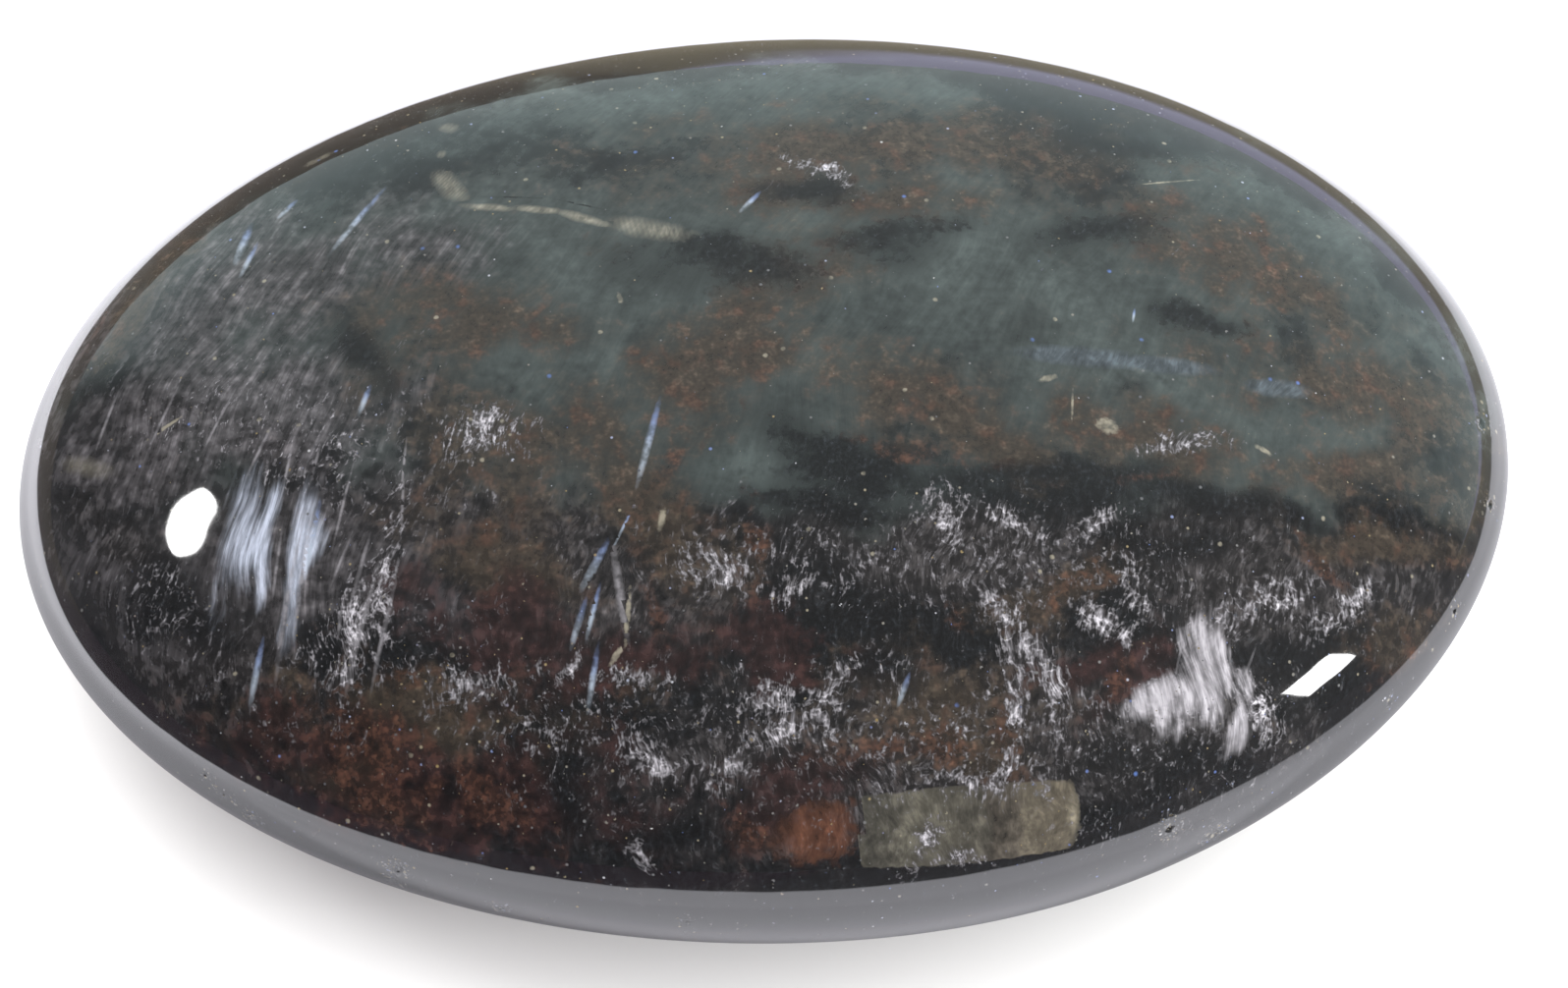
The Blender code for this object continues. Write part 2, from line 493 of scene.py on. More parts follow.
# Fields of the minerals: where each is, how strongly the places hold it, its waves per millimetre, its shift,
# and how much less of it the hidden side has
FIELDS = {
    "teal": (TEAL_CLOUDS_AND_PAINTED_REFLECTION, 0.45, 0.25, 0.0, 0.0),
    "lilac": (LILAC_CLOUDS, 0.40, 0.30, 20.0, 0.0),
    "brown": (BROWN_CLOUDS, 0.30, 0.45, 40.0, 0.03),
    "maroon": (MAROON_CLOUDS, 0.34, 0.40, 60.0, 0.0),
    "black": (BLACK_CLOUDS, 0.56, 0.40, 80.0, 0.0),
    "haze": (SILVER_HAZE, 0.30, 0.70, 100.0, 0.0),
    "clump": (SILVER_CLUMPS, 0.50, 0.70, 120.0, 0.26),
    "fan": (PAINTED_SHEEN_FAN, 0.60, 0.90, 140.0, 0.18),
    "glow": (PAINTED_SHEEN_FIBRES, 0.60, 0.50, 160.0, 0.3),
    "milk": ((), 0.0, 0.40, 180.0, 0.0),
    "rust": (RUST_CLOUDS, 0.40, 0.80, 200.0, 0.1),
    "ash": (ASHEN_CLOUDS, 0.36, 0.35, 220.0, 0.0),
}
FIELD_OCTAVES = 4
FIELD_RELIEF = 0.22  # share of a field that is noise
REACH_LIMIT = 2.0  # half sizes of a cloud out to which its nearness is felt
CLOUD_DEPTH = 6.0  # mm, of the clouds below the surface
CLOUD_ROUNDING = 0.8  # half widths that a cloud goes on past its ends
DRIFT = 1.1  # mm, how far the clouds' edges wander
DRIFT_WAVES = 0.35  # per mm
SEEN_FROM, SEEN_TO = 6.5, 9.5  # mm, heights between which the photographed side begins

# Patches and small marks in the photograph, each kind with its traits below
PATCHES = {
    "band": (
        (1025, 357, 1180, 370, 0.55), (1120, 366, 1245, 378, 0.50),
    ),
    "lens": (
        (1262, 392, 1338, 399, 0.50),
    ),
    "crystal": (
        (871, 850, 1097, 830, 1.62),
    ),
    "orange": (
        (786, 860, 880, 838, 1.45),
    ),
    "seam": (
        (466, 209, 530, 213, 0.24), (516, 211, 580, 216, 0.24), (560, 213, 628, 232, 0.30),
    ),
    "hatched": (
        (612, 225, 708, 241, 0.60), (441, 172, 474, 206, 0.60),
    ),
    "pale": (
        (446, 128, 467, 133, 0.45), (444, 157, 455, 157, 0.30), (59, 470, 118, 482, 0.50),
        (305, 172, 345, 152, 0.30),
    ),
}
MARKS = {
    "needle": (
        (672, 405, 648, 496, 0.17), (645, 515, 622, 562, 0.07), (620, 548, 591, 602, 0.19),
        (597, 608, 580, 663, 0.15), (611, 594, 596, 654, 0.12), (609, 655, 598, 726, 0.15),
        (392, 191, 334, 260, 0.17), (256, 228, 239, 270, 0.24), (262, 248, 244, 283, 0.16),
        (302, 204, 282, 223, 0.17), (377, 392, 365, 423, 0.15), (774, 195, 753, 216, 0.14),
        (926, 685, 914, 719, 0.14), (268, 650, 254, 721, 0.17), (326, 508, 310, 590, 0.14),
        (1155, 314, 1153, 328, 0.07),
    ),
    "fibre": (
        (306, 533, 279, 700, 0.16), (319, 512, 298, 654, 0.13), (287, 538, 277, 612, 0.09),
        (356, 548, 335, 601, 0.08), (377, 543, 356, 617, 0.11), (385, 575, 350, 712, 0.13),
        (408, 559, 398, 606, 0.09), (403, 590, 377, 706, 0.12), (350, 606, 343, 654, 0.09),
        (411, 485, 408, 548, 0.08), (279, 429, 250, 487, 0.09), (414, 445, 408, 503, 0.07),
        (298, 450, 287, 503, 0.08), (327, 450, 314, 498, 0.08), (360, 470, 338, 560, 0.08),
        (240, 395, 205, 462, 0.08), (182, 392, 150, 460, 0.09), (120, 400, 96, 462, 0.10),
        (622, 545, 640, 660, 0.20), (1206, 640, 1196, 690, 0.07), (1278, 660, 1262, 700, 0.08),
    ),
    "crack": (
        (488, 200, 562, 202, 0.07), (558, 201, 622, 215, 0.07), (874, 816, 876, 878, 0.05),
    ),
    "cream": (
        (1115, 429, 1139, 438, 0.36), (1056, 388, 1077, 382, 0.16), (1092, 396, 1091, 428, 0.06),
        (1276, 452, 1295, 464, 0.13), (629, 298, 633, 310, 0.12), (676, 517, 671, 541, 0.16),
        (641, 598, 636, 660, 0.12), (636, 655, 620, 678, 0.14), (1157, 188, 1221, 183, 0.06),
        (185, 424, 150, 448, 0.10),
    ),
}
MARK_SPOTS = {
    "cream": (
        (949, 426), (921, 397), (823, 539), (888, 564), (1071, 567), (1059, 582), (879, 482), (611, 338),
        (535, 183), (460, 667), (394, 246), (136, 294), (269, 286), (219, 365), (264, 427), (304, 433),
        (444, 323), (622, 91), (668, 80), (646, 125), (793, 172), (779, 362), (797, 355), (846, 283),
        (880, 130), (943, 204), (1185, 146), (1190, 164), (1074, 325), (952, 305), (1342, 241), (1242, 554),
        (1437, 587), (1347, 528), (239, 686), (418, 769), (479, 427), (511, 429), (491, 468), (263, 792),
        (354, 836), (542, 884), (1190, 841), (1235, 852), (1515, 513), (1509, 522), (1521, 506),
        (1523, 440), (1495, 497), (1479, 627), (1458, 662), (1413, 713), (1331, 761), (1508, 409),
        (1230, 849),
    ),
    "blue": (
        (430, 253), (466, 251), (647, 155), (559, 383), (920, 200), (1129, 276), (1162, 346), (1051, 346),
        (974, 718), (1156, 788), (1293, 386), (1321, 390), (342, 154),
    ),
}
SPOT_RADIUS = 0.11  # mm
CRYSTAL_BANDS = (  # shades along the pale crystal, from its left end to its right
    (0.0, (1.4, 1.4, 1.3)),
    (0.05, (0.8, 0.82, 0.82)),
    (0.3, (0.85, 0.86, 0.82)),
    (0.57, (0.9, 0.9, 0.88)),
    (0.61, (0.62, 0.58, 0.56)),
    (0.73, (0.75, 0.70, 0.68)),
    (0.77, (1.15, 1.08, 0.98)),
    (0.95, (1.35, 1.25, 1.12)),
    (1.0, (2.3, 2.2, 2.0)),
)
MARK_REACH = 6.0  # half sizes of a mark out to which a face can belong to it


class Kind(NamedTuple):
    """Traits of a kind of patch or mark."""

    number: int
    opacity: float
    edge: float  # width of its soft edge, in its half widths
    ragged: float  # how far its edge is broken up, in the same
    colour: str  # name of its colour's setting


KINDS = {
    "band": Kind(0, 0.80, 0.45, 0.5, "band"),
    "lens": Kind(1, 0.80, 0.45, 0.5, "band"),
    "crystal": Kind(2, 1.00, 0.05, 0.18, "olive"),
    "orange": Kind(3, 0.95, 0.55, 1.5, "orange"),
    "seam": Kind(4, 0.40, 0.70, 0.9, "cream"),
    "hatched": Kind(5, 0.38, 0.70, 0.9, "cream"),
    "pale": Kind(6, 0.30, 0.90, 0.8, "cream"),
    "needle": Kind(7, 0.85, 0.85, 0.3, "needle"),
    "cream": Kind(8, 0.75, 0.55, 0.9, "cream"),
    "blue": Kind(9, 0.75, 0.80, 0.3, "blue"),
    "crack": Kind(10, 0.75, 0.80, 0.5, "black"),
    "fibre": Kind(11, 0.70, 0.90, 0.4, "silver"),
}
KIND_STEPS = 16  # steps that the kinds' numbers take up of a ramp

# Sparkles strewn over the stone
SPARKLES = 6500
SPARKLE_RADII = (0.025, 0.095)  # mm, least and most
SPARKLE_SMALLNESS = 3  # the higher, the more of them are near the least
SPARKLE_SEED = 7
SPARKLE_TINTS = (  # what the hues from 0 to 1 stand for
    (0.0, (0.04, 0.045, 0.055)),
    (0.4, (0.10, 0.10, 0.10)),
    (0.65, (0.14, 0.125, 0.09)),
    (0.8, (0.15, 0.11, 0.045)),
    (0.88, (0.05, 0.08, 0.20)),
    (1.0, (0.28, 0.28, 0.28)),
)

FIBRE_LEAN = 0.474  # sideways run of the fibres for each step to the rear, across the stone's middle
FIBRE_CURL = 0.014  # more of it for each millimetre to the rear, so that the fibres fan
BENDS = {"bend": (0.25, 0.9), "crinkle": (1.0, 0.30)}  # waves per millimetre and reach in millimetres
WANDER_SHIFTS = (  # where the parts of a wander are read
    Vector((31.4, 0.0, 0.0)),
    Vector((0.0, 57.7, 0.0)),
    Vector((0.0, 0.0, 83.2)),
)


def own_places(places, centres, turns, half_sizes):
    """Places in the frames of ellipsoids, as parts of their half sizes."""
    return np.einsum("...i,...ij->...j", places - centres, turns) / half_sizes


def read_each(items, part, shape, kind):
    """One part of each of a mesh's items, as an array."""
    values = np.empty((len(items), *shape), dtype=kind)
    items.foreach_get(part, values.ravel())
    return values


def point_places(data):
    """The mesh's points, in millimetres."""
    return read_each(data.vertices, "co", (3,), np.float64) / MM


def wander(places, waves_per_mm):
    """A smooth vector for each place, its three parts from -1 to 1 and read from a noise apart."""
    spots = [Vector(place) * waves_per_mm for place in places]
    return np.array([[noise.noise(spot + shift) for shift in WANDER_SHIFTS] for spot in spots])


def write_attribute(data, name, domain, values):
    """Writes numbers, or rows of three as vectors, on the mesh's points or corners."""
    kind, part = ("FLOAT", "value") if values.ndim == 1 else ("FLOAT_VECTOR", "vector")
    data.attributes.new(name, kind, domain).data.foreach_set(part, values.ravel())


def write_fields(data, cast):
    """Writes each mineral's field on the stone's points: over a half where the mineral is."""
    places = point_places(data)
    drift = DRIFT * wander(places, DRIFT_WAVES)
    seen = np.clip((places[:, 2] - SEEN_FROM) / (SEEN_TO - SEEN_FROM), 0.0, 1.0)
    for name, (features, push, waves_per_mm, shift, less) in FIELDS.items():
        spots = [Vector(place) * waves_per_mm + Vector((shift, 0.0, 0.0)) for place in places]
        relief = np.array([noise.fractal(spot, 1.0, LACUNARITY, FIELD_OCTAVES) for spot in spots])
        field = 0.5 + FIELD_RELIEF * relief - less * (1.0 - seen)
        if features:
            moved = places + drift * min(1.0, features[0][-1])  # narrow clouds wander less
            reach = np.full(len(places), REACH_LIMIT)
            for feature in features:
                cloud = cast.inclusion(*feature, rounding=CLOUD_ROUNDING, least_depth=CLOUD_DEPTH)
                reach = np.minimum(reach, np.linalg.norm(own_places(moved, *cloud), axis=1))
            field += push * (1.0 - reach) * seen
        write_attribute(data, name, "POINT", field)


def write_bends(data):
    """Writes how far fibres and flecks bend aside at the stone's points, in millimetres."""
    places = point_places(data)
    for name, (waves_per_mm, reach) in BENDS.items():
        write_attribute(data, name, "POINT", reach * wander(places, waves_per_mm))


def write_marks(data, name, marks):
    """Writes on each face's corners their place in its nearest mark: along it, across it, and its kind."""
    places = point_places(data)
    middles = read_each(data.polygons, "center", (3,), np.float64) / MM
    sides = read_each(data.polygons, "loop_total", (), np.int32)
    corners = read_each(data.loops, "vertex_index", (), np.int32)
    centres, turns, half_sizes, kinds = (np.array(part) for part in zip(*marks))
    nearest = np.zeros(len(middles), dtype=np.int32)
    least = np.full(len(middles), MARK_REACH)
    for number, own_frame in enumerate(zip(centres, turns, half_sizes)):
        reach = np.linalg.norm(own_places(middles, *own_frame), axis=1)
        closer = reach < least
        nearest[closer] = number
        least[closer] = reach[closer]
    owner = np.repeat(nearest, sides)
    own = own_places(places[corners], centres[owner], turns[owner], half_sizes[owner])
    own[:, 2] = kinds[owner]
    own[np.repeat(least >= MARK_REACH, sides), :2] = MARK_REACH
    write_attribute(data, name, "CORNER", own)


def write_sparkles(data):
    """Scatters sparkles, and writes each face's nearest one on its corners and that one's hue on the face."""
    draw = random.Random(SPARKLE_SEED)
    tree = KDTree(SPARKLES)
    radii = []
    least, most = SPARKLE_RADII
    for number in range(SPARKLES):
        tree.insert(data.vertices[draw.randrange(len(data.vertices))].co / MM, number)
        radii.append(least + (most - least) * draw.random() ** SPARKLE_SMALLNESS)
    tree.balance()
    hues = [draw.random() for _ in range(SPARKLES)]
    gaps = data.attributes.new("spark", "FLOAT_VECTOR", "CORNER").data
    tints = data.attributes.new("spark_hue", "FLOAT", "FACE").data
    for face in data.polygons:
        centre, number, _ = tree.find(face.center / MM)
        tints[face.index].value = hues[number]
        for corner in face.loop_indices:
            place = data.vertices[data.loops[corner].vertex_index].co / MM
            gaps[corner].vector = (place - centre) / radii[number]


def listed_marks(cast, kinds, spots):
    """All marks of some kinds, as centre, turn, half sizes and kind."""
    marks = []
    for kind, places in kinds.items():
        marks += [(*cast.inclusion(*place), KINDS[kind].number) for place in places]
    for kind, pixels in spots.items():
        marks += [(*cast.spot(pixel, SPOT_RADIUS), KINDS[kind].number) for pixel in pixels]
    return marks


# Noises of the minerals: waves per millimetre, octaves and roughness
NOISES = {
    "mottle": (0.9, 2.0, 0.65),
    "crumb": (1.8, 2.0, 0.60),
    "grit": (5.5, 1.0, 0.5),
}
# Noises on the fibres' grain: waves per millimetre across it and along it, octaves and roughness
THREADS = (2.4, 0.22, 3.0, 0.7)
STROKES = (5.0, 1.35, 2.0, 0.75)
MILK_THREADS = 0.4  # how far the threads show in the milk
VEIN_WIDTH = 0.09  # of the crumb's values, on each side of its middle


class Layer(NamedTuple):
    """How one mineral lies over those below it."""

    broken_by: str  # noise that breaks up its edge
    broken: float  # how far it does
    begins: float  # where in its field the mineral begins
    full: float  # where it hides what is below
    coarse: str  # noises of its tone
    fine: str
    fine_share: float
    opacity: float
    shades: tuple  # tones, and how strong its colour is at each


LAYERS = {
    "ash": Layer("mottle", 0.35, 0.35, 0.75, "strokes", "crumb", 0.45, 0.85, (
        (0.3, 0.1), (0.45, 0.6), (0.55, 1.4), (0.65, 3.5), (0.75, 7.0))),
    "teal": Layer("mottle", 0.3, 0.36, 0.66, "milky", "crumb", 0.35, 1.0, (
        (0.3, 0.4), (0.42, 0.65), (0.55, 1.0), (0.7, 1.6))),
    "lilac": Layer("mottle", 0.4, 0.32, 0.74, "threads", "crumb", 0.45, 0.9, (
        (0.3, 0.05), (0.45, 0.5), (0.53, 1.1), (0.62, 2.4), (0.72, 5.0))),
    "brown": Layer("crumb", 0.5, 0.32, 0.74, "crumb", "grit", 0.35, 0.93, (
        (0.3, 0.6), (0.44, 0.85), (0.55, 1.2), (0.63, 1.9), (0.72, 3.5))),
    "maroon": Layer("crumb", 0.4, 0.38, 0.68, "mottle", "crumb", 0.5, 0.75, (
        (0.3, 0.2), (0.45, 0.7), (0.55, 1.2), (0.68, 2.4))),
    "black": Layer("crumb", 0.9, 0.36, 0.94, "strokes", "grit", 0.5, 0.94, (
        (0.35, 0.4), (0.5, 1.3), (0.58, 3.0), (0.68, 8.0))),
    "rust": Layer("crumb", 0.8, 0.42, 0.92, "crumb", "grit", 0.5, 0.55, (
        (0.3, 0.2), (0.45, 0.6), (0.55, 1.3), (0.68, 2.8))),
}
GROUND_SHADES = ((0.35, 0.5), (0.5, 1.4), (0.62, 4.0), (0.75, 12.0))
GROUND_GRIT = 0.4  # share of its tone

# Rust that stains the brown: from where to where in the mottle, and from which share to which
STAIN = (0.5, 0.7, 0.0, 0.6)
STAIN_SHADES = ((0.3, 0.5), (0.5, 0.85), (0.65, 1.5))

# The silver strokes
HAZE_SHARE = 0.7  # how much of the haze's field counts, beside the clumps'
CROWDING = 0.48  # how much more of the strokes shows for each step of the field
VEINS_SHOWN = 0.16  # how far the strokes gather on veins
SILVER_HELD = (0.15, 0.45)  # field over which the strokes come in
SILVER_DRAWN = (0.72, 1.0)  # strength over which a stroke comes in
SILVER_BRIGHT = (0.75, 1.25)  # strength over which it brightens
SILVER_SHADES = ((0.0, 0.2), (0.2, 0.45), (0.4, 0.9), (0.6, 1.7), (0.8, 3.2))
BED = (0.55, 1.0, 0.0, 0.6)  # field over which the bed between strokes greys, and its shares of grey
BED_SHADES = ((0.35, 0.5), (0.5, 2.0), (0.65, 5.0))

# The silks, real fibres with the lamps' sheen on them painted into their colour: field, colour, how far the
# threads break its edge, where it begins and is full, its opacity, and how much its painted sheen brightens
# it
SILKS_WITH_PAINTED_SHEEN = (
    ("fan", "silver", 0.7, 0.35, 0.85, 0.95, 0.08),
    ("glow", "glow", 0.6, 0.35, 0.95, 0.85, 0.04),
)
SILK_STROKES = 0.2  # share of their tone
PAINTED_SHEEN_SHADES = ((0.3, 0.35), (0.45, 0.9), (0.55, 1.5), (0.7, 2.8))

# The patches' and marks' drawing, in parts of their half sizes
PATCH_END, MARK_END = 1.05, 1.1  # where the soft edge ends
CRYSTAL_ROUNDING = 0.25  # from a box to an oval
HATCH_TURNS = (54.0, 8.0)  # of the hatching's wave, along and across
HATCH_DEPTH = (-0.9, 0.9, 0.75, 1.0)
CLOUDY_TURNS = (7.0, 9.0)  # of the patches' bands, along them and over the mottle
CLOUDY_SHARE = 0.12
CLOUDY_SHADES = ((0.3, (0.45, 0.45, 0.45)), (0.5, (1.0, 1.0, 1.0)), (0.72, (2.1, 2.1, 2.1)))
BAND_WANDER = 0.25  # how far the crystal's bands wander
BLUE_TIP = (0.3, -0.7, 0.0, 0.7)  # along a needle, from its pale body to its blue tip
MARK_FADE = (0.35, 0.6, 0.3, 1.0)  # crumb over which a mark fades in
SPARK_EDGE = (1.0, 0.4)

# Under the polish
SHINE_METAL = 0.4  # how metallic the silver is
ROUGH, SILKY = 0.5, 0.35  # roughness of the minerals, and of the silver
MINERAL_INDEX = 1.2  # refractive index against the polish
STROKE_RELIEF = 0.05 * MM
STROKE_STRENGTH = 0.35


class MineralLayers:
    """The stone's minerals as layers of one material, from its dark ground up to its glints."""

    def __init__(self, tree, settings):
        self.nodes = nodes = Nodes(tree)
        self.settings = settings
        self.shine = 0.0
        place = nodes.vector("SCALE", nodes.add("ShaderNodeTexCoord").outputs["Object"], 1 / MM)
        along, rear, height = nodes.split(place)
        lean = nodes.product(rear, nodes.math("MULTIPLY_ADD", rear, FIBRE_CURL, FIBRE_LEAN))
        straight = nodes.join(nodes.math("SUBTRACT", along, lean), rear, height)
        grain = nodes.vector("ADD", straight, nodes.attribute("bend", "Vector"))
        crinkled = nodes.vector("ADD", grain, nodes.attribute("crinkle", "Vector"))
        self.noises = {name: nodes.noise(place, *values) for name, values in NOISES.items()}
        self.noises["threads"] = threads = self.grained(grain, *THREADS)
        self.noises["strokes"] = self.grained(crinkled, *STROKES)
        self.noises["milky"] = self.lifted(nodes.attribute("milk"), threads, MILK_THREADS)
        off_vein = nodes.math("ABSOLUTE", nodes.math("SUBTRACT", self.noises["crumb"], 0.5))
        self.veins = nodes.span(off_vein, 0.0, VEIN_WIDTH, 1.0, 0.0)

    def grained(self, place, across, along, octaves, roughness):
        """A noise on the fibres' grain, with so many waves per millimetre across and along them."""
        return self.nodes.noise(self.nodes.scaled(place, (across, along, along * 2)), 1.0, octaves, roughness)

    def lifted(self, value, by, weight):
        """A value raised or lowered by a noise about its middle."""
        return self.nodes.math("MULTIPLY_ADD", self.nodes.math("SUBTRACT", by, 0.5), weight, value)

    def tone(self, coarse, fine, fine_share):
        """Two of the noises as one tone."""
        return self.nodes.blend(fine_share, self.noises[coarse], self.noises[fine])

    def shades(self, mineral, tone, steps):
        """Shades of a mineral's colour over a tone from 0 to 1, as places and strengths."""
        colour = getattr(self.settings, mineral)
        stops = [(place, [min(1.0, part * strength) for part in colour]) for place, strength in steps]
        return self.nodes.ramp(tone, stops)

    def field(self, name, broken, by, begins, full):
        """A mineral's mask from its field, its edge broken up by a noise."""
        return self.nodes.span(self.lifted(self.nodes.attribute(name), self.noises[by], broken), begins, full)

    def ground(self):
        """Black arfvedsonite with faint grey strokes."""
        return self.shades("black", self.tone("strokes", "grit", GROUND_GRIT), GROUND_SHADES)

    def mineral(self, name, below):
        """A mineral over those below it, in clouds that come and go."""
        nodes = self.nodes
        layer = LAYERS[name]
        tone = self.tone(layer.coarse, layer.fine, layer.fine_share)
        colour = self.shades(name, tone, layer.shades)
        if name == "brown":
            stain = nodes.span(self.noises["mottle"], *STAIN)
            colour = nodes.mix(stain, colour, self.shades("rust", tone, STAIN_SHADES))
        mask = self.field(name, layer.broken, layer.broken_by, layer.begins, layer.full)
        return nodes.mix(nodes.product(mask, layer.opacity), below, colour)

    def silver(self, below):
        """Silver strokes, thinly strewn in the haze and crowded in the clumps."""
        nodes = self.nodes
        strokes = self.noises["strokes"]
        haze = nodes.product(nodes.attribute("haze"), HAZE_SHARE)
        held = nodes.math("MAXIMUM", nodes.attribute("clump"), haze)
        drawn = nodes.math("MULTIPLY_ADD", held, CROWDING, self.lifted(strokes, self.veins, VEINS_SHOWN))
        bed = nodes.mix(nodes.span(held, *BED), below, self.shades("ash", strokes, BED_SHADES))
        self.shine = nodes.product(nodes.span(drawn, *SILVER_DRAWN), nodes.span(held, *SILVER_HELD))
        bright = nodes.span(drawn, *SILVER_BRIGHT, smooth=False)
        return nodes.mix(self.shine, bed, self.shades("silver", bright, SILVER_SHADES))

    def silk_with_painted_sheen(self, below):
        """Silky fibres at the right and at the left beside the lamps' images, with the lamps' sheen painted
        into their colour.
        """
        nodes = self.nodes
        tone = self.tone("threads", "strokes", SILK_STROKES)
        for name, mineral, broken, begins, full, opacity, painted_sheen_lift in SILKS_WITH_PAINTED_SHEEN:
            mask = self.field(name, broken, "threads", begins, full)
            # painted sheen: each silk brightens its fibres' tone
            tone = nodes.math("MULTIPLY_ADD", mask, painted_sheen_lift, tone)
            below = nodes.mix(nodes.product(mask, opacity), below, self.shades(mineral, tone, PAINTED_SHEEN_SHADES))
            if name == "fan":
                self.shine = nodes.math("MAXIMUM", self.shine, mask)
        return below

    def marks(self, attribute, kinds):
        """The values of the marks on one attribute: places along and across, kind, traits and colour."""
        nodes = self.nodes
        along, across, kind = nodes.split(nodes.attribute(attribute, "Vector"))
        number = nodes.math("DIVIDE", nodes.math("ADD", kind, 0.5), KIND_STEPS)
        listed = sorted({KINDS[name] for name in kinds})
        traits = [(one.number / KIND_STEPS, (one.opacity, one.edge, one.ragged)) for one in listed]
        colours = [(one.number / KIND_STEPS, getattr(self.settings, one.colour)) for one in listed]
        parts = nodes.add("ShaderNodeSeparateColor")
        nodes.set(parts.inputs[0], nodes.ramp(number, traits, "CONSTANT"))
        opacity, edge, ragged = parts.outputs[:3]
        return along, across, kind, opacity, edge, ragged, nodes.ramp(number, colours, "CONSTANT")

    def patches(self, below):
        """Blue-grey band, orange patch, pale olive crystal, and cream seam with its hatched ends."""
        nodes = self.nodes
        crumb, mottle = self.noises["crumb"], self.noises["mottle"]
        along, across, kind, opacity, edge, ragged, colour = self.marks("patch", PATCHES)
        boxy = nodes.math("COMPARE", kind, KINDS["crystal"].number)
        oval_reach = nodes.reach(along, across)
        box_reach = nodes.math("MAXIMUM", nodes.math("ABSOLUTE", along), nodes.math("ABSOLUTE", across))
        reach = nodes.blend(boxy, oval_reach, nodes.blend(CRYSTAL_ROUNDING, box_reach, oval_reach))
        reach = self.lifted(reach, crumb, ragged)
        mask = nodes.math("DIVIDE", nodes.math("SUBTRACT", PATCH_END, reach), edge, clamp=True)
        turns = [nodes.product(part, count) for part, count in zip((along, across), HATCH_TURNS)]
        hatch = nodes.span(nodes.math("SINE", nodes.math("ADD", *turns)), *HATCH_DEPTH)
        hatch = nodes.blend(nodes.math("COMPARE", kind, KINDS["hatched"].number), 1.0, hatch)
        turns = nodes.math("MULTIPLY_ADD", mottle, CLOUDY_TURNS[1], nodes.product(along, CLOUDY_TURNS[0]))
        cloudy = nodes.span(nodes.math("SINE", turns), -1.0, 1.0)
        tone = self.lifted(self.tone("crumb", "strokes", 0.5), cloudy, CLOUDY_SHARE)
        colour = nodes.mix(1.0, colour, nodes.ramp(tone, CLOUDY_SHADES), "MULTIPLY")
        wandered = nodes.math("ADD", along, self.lifted(0.0, mottle, BAND_WANDER))
        bands = nodes.ramp(nodes.math("MULTIPLY_ADD", wandered, 0.5, 0.5), CRYSTAL_BANDS)
        colour = nodes.mix(boxy, colour, nodes.mix(1.0, colour, bands, "MULTIPLY"))
        return nodes.mix(nodes.product(mask, opacity, hatch), below, colour)

    def small_marks(self, below):
        """Cream flecks, blue needles and blue flashes, thin fibres and cracks."""
        nodes = self.nodes
        along, across, kind, opacity, edge, ragged, colour = self.marks("mark", (*MARKS, *MARK_SPOTS))
        reach = self.lifted(nodes.reach(along, across), self.noises["grit"], ragged)
        mask = nodes.math("DIVIDE", nodes.math("SUBTRACT", MARK_END, reach), edge, clamp=True)
        is_needle = nodes.math("COMPARE", kind, KINDS["needle"].number)
        bluer = nodes.product(is_needle, nodes.span(along, *BLUE_TIP))
        colour = nodes.mix(bluer, colour, (*self.settings.blue, 1.0))
        fade = nodes.span(self.noises["crumb"], *MARK_FADE)
        return nodes.mix(nodes.product(mask, opacity, fade), below, colour)

    def sparkles(self, below):
        """Tiny glints strewn all over: grey, cream, gold, blue and white."""
        nodes = self.nodes
        spark = nodes.span(nodes.vector("LENGTH", nodes.attribute("spark", "Vector")), *SPARK_EDGE)
        return nodes.mix(spark, below, nodes.ramp(nodes.attribute("spark_hue"), SPARKLE_TINTS))


def mineral_material(settings):
    """The stone's minerals under its polish."""
    material = bpy.data.materials.new("polished_arfvedsonite")
    material.use_nodes = True
    shader = material.node_tree.nodes["Principled BSDF"]
    layers = MineralLayers(material.node_tree, settings)
    nodes = layers.nodes
    colour = layers.ground()
    for name in LAYERS:
        colour = layers.mineral(name, colour)
    for layer in (layers.patches, layers.silver, layers.silk_with_painted_sheen, layers.small_marks, layers.sparkles):
        colour = layer(colour)
    bump = nodes.add("ShaderNodeBump")
    bump.inputs["Strength"].default_value = STROKE_STRENGTH
    bump.inputs["Distance"].default_value = STROKE_RELIEF
    nodes.set(bump.inputs["Height"], layers.noises["strokes"])
    nodes.fill(shader, {
        "Base Color": colour,
        "Metallic": nodes.product(layers.shine, SHINE_METAL),
        "Roughness": nodes.span(layers.shine, 0.0, 1.0, ROUGH, SILKY),
        "Normal": bump.outputs[0],
        "IOR": MINERAL_INDEX,
        "Coat Weight": 1.0,
        "Coat Roughness": settings.polish_roughness,
        "Coat IOR": settings.polish_index,
    })
    return material


class PALM_OT_stone(bpy.types.Operator):
    """Makes the polished pebble, which stands for the plain solid"""

    bl_idname = "palm_stone.make_stone"
    bl_label = "Make the stone"

    def execute(self, context):
        settings = context.scene.palm_stone
        pebble = stone_mesh(settings)
        pebble.normal_update()
        cast = PhotoCast(BVHTree.FromBMesh(pebble), context.scene.palm_stage)
        press_pits(pebble, cast)
        data = bpy.data.meshes.new(STONE_PIECE)
        pebble.to_mesh(data)
        pebble.free()
        data.shade_smooth()
        write_fields(data, cast)
        write_bends(data)
        write_marks(data, "patch", listed_marks(cast, PATCHES, {}))
        write_marks(data, "mark", listed_marks(cast, MARKS, MARK_SPOTS))
        write_sparkles(data)
        data.materials.append(mineral_material(settings))
        stone = link(bpy.data.objects.new(STONE_PIECE, data))
        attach(stone, "root")
        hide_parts(STONE_NODE)
        return {"FINISHED"}


